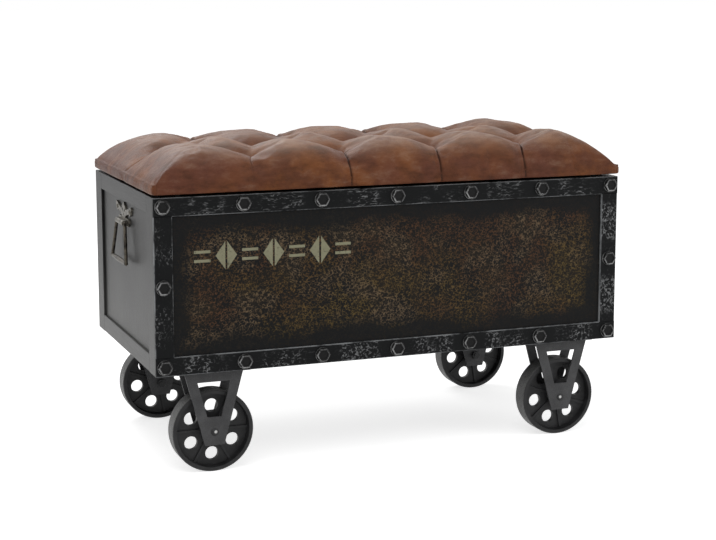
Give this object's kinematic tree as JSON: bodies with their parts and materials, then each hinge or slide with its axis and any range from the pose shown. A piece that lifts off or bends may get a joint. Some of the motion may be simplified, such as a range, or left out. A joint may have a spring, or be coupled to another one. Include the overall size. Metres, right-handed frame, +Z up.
{
  "type": "wheeled storage bench",
  "caption": "Low boxed storage bench on cast wheels in forks, with a bolted front frame, drop handles and a hinged lid with a tufted leather cushion.",
  "frame": {"origin": "on the floor, under the middle of the bench", "axes": "+X to the right along the bench, the front faces -Y, +Z up"},
  "size_m": [0.813, 0.415, 0.5029],
  "materials": {
    "crackle_paint": "satin crackled gold-brown paint over black",
    "strip_black": "satin black with silver rub marks",
    "end_grey": "satin dark grey paint with fine upright grain",
    "board_black": "matte black",
    "batten_wood": "bare wood",
    "bolt_steel": "dark with bright worn edges",
    "fork_grey": "satin dark grey paint",
    "wheel_iron": "satin black cast iron",
    "axle_steel": "dark steel",
    "handle_bronze": "aged pewter and bronze",
    "hinge_steel": "plain steel",
    "pad_rubber": "matte black",
    "lid_wood": "plywood",
    "lining_cloth": "black cloth",
    "seat_leather": "mottled red-brown leather, paler on the crests"
  },
  "bodies": {
    "box": {"front_panel": "crackle_paint", "front_top_strip": "strip_black", "front_bottom_strip": "strip_black", "front_left_strip": "strip_black", "front_right_strip": "strip_black", "frame_bolts": "bolt_steel", "back_panel": "end_grey", "bottom_board": "board_black", "left_front_stile": "end_grey", "left_back_stile": "end_grey", "left_top_rail": "end_grey", "left_bottom_rail": "end_grey", "left_panel": "end_grey", "right_front_stile": "end_grey", "right_back_stile": "end_grey", "right_top_rail": "end_grey", "right_bottom_rail": "end_grey", "right_panel": "end_grey", "front_left_batten": "batten_wood", "front_right_batten": "batten_wood", "back_left_batten": "batten_wood", "back_right_batten": "batten_wood", "front_left_fork": "fork_grey", "front_right_fork": "fork_grey", "back_left_fork": "fork_grey", "back_right_fork": "fork_grey", "fork_screws": "axle_steel", "axle_bolts": "axle_steel", "axle_nuts": "axle_steel", "hub_washers": "axle_steel", "left_handle_plate": "handle_bronze", "right_handle_plate": "handle_bronze", "handle_screws": "handle_bronze", "left_hinge_box_leaf": "hinge_steel", "right_hinge_box_leaf": "hinge_steel", "hinge_pins": "hinge_steel", "hinge_box_screws": "hinge_steel", "rim_pads": "pad_rubber"},
    "lid": {"lid_board": "lid_wood", "lid_lining": "lining_cloth", "seat_cushion": "seat_leather", "left_hinge_lid_leaf": "hinge_steel", "right_hinge_lid_leaf": "hinge_steel", "hinge_lid_screws": "hinge_steel"},
    "front_left_wheel_body": {"front_left_wheel": "wheel_iron"},
    "front_right_wheel_body": {"front_right_wheel": "wheel_iron"},
    "back_left_wheel_body": {"back_left_wheel": "wheel_iron"},
    "back_right_wheel_body": {"back_right_wheel": "wheel_iron"},
    "left_bail_body": {"left_bail": "handle_bronze"},
    "right_bail_body": {"right_bail": "handle_bronze"}
  },
  "joints": [
    {"name": "lid_hinge", "type": "hinge", "parent": "box", "child": "lid", "pos_m": [0, 0.2045, 0.4385], "axis": [-1, 0, 0], "range_deg": [0, 95]},
    {"name": "front_left_wheel_spin", "type": "hinge", "parent": "box", "child": "front_left_wheel_body", "pos_m": [-0.301, -0.1685, 0.065], "axis": [0, 1, 0], "continuous": true},
    {"name": "front_right_wheel_spin", "type": "hinge", "parent": "box", "child": "front_right_wheel_body", "pos_m": [0.301, -0.1685, 0.065], "axis": [0, 1, 0], "continuous": true},
    {"name": "back_left_wheel_spin", "type": "hinge", "parent": "box", "child": "back_left_wheel_body", "pos_m": [-0.301, 0.1685, 0.065], "axis": [0, 1, 0], "continuous": true},
    {"name": "back_right_wheel_spin", "type": "hinge", "parent": "box", "child": "back_right_wheel_body", "pos_m": [0.301, 0.1685, 0.065], "axis": [0, 1, 0], "continuous": true},
    {"name": "left_bail_swing", "type": "hinge", "parent": "box", "child": "left_bail_body", "pos_m": [-0.3985, 0, 0.374], "axis": [0, 1, 0], "range_deg": [0, 95]},
    {"name": "right_bail_swing", "type": "hinge", "parent": "box", "child": "right_bail_body", "pos_m": [0.3985, 0, 0.374], "axis": [0, -1, 0], "range_deg": [0, 95]}
  ]
}
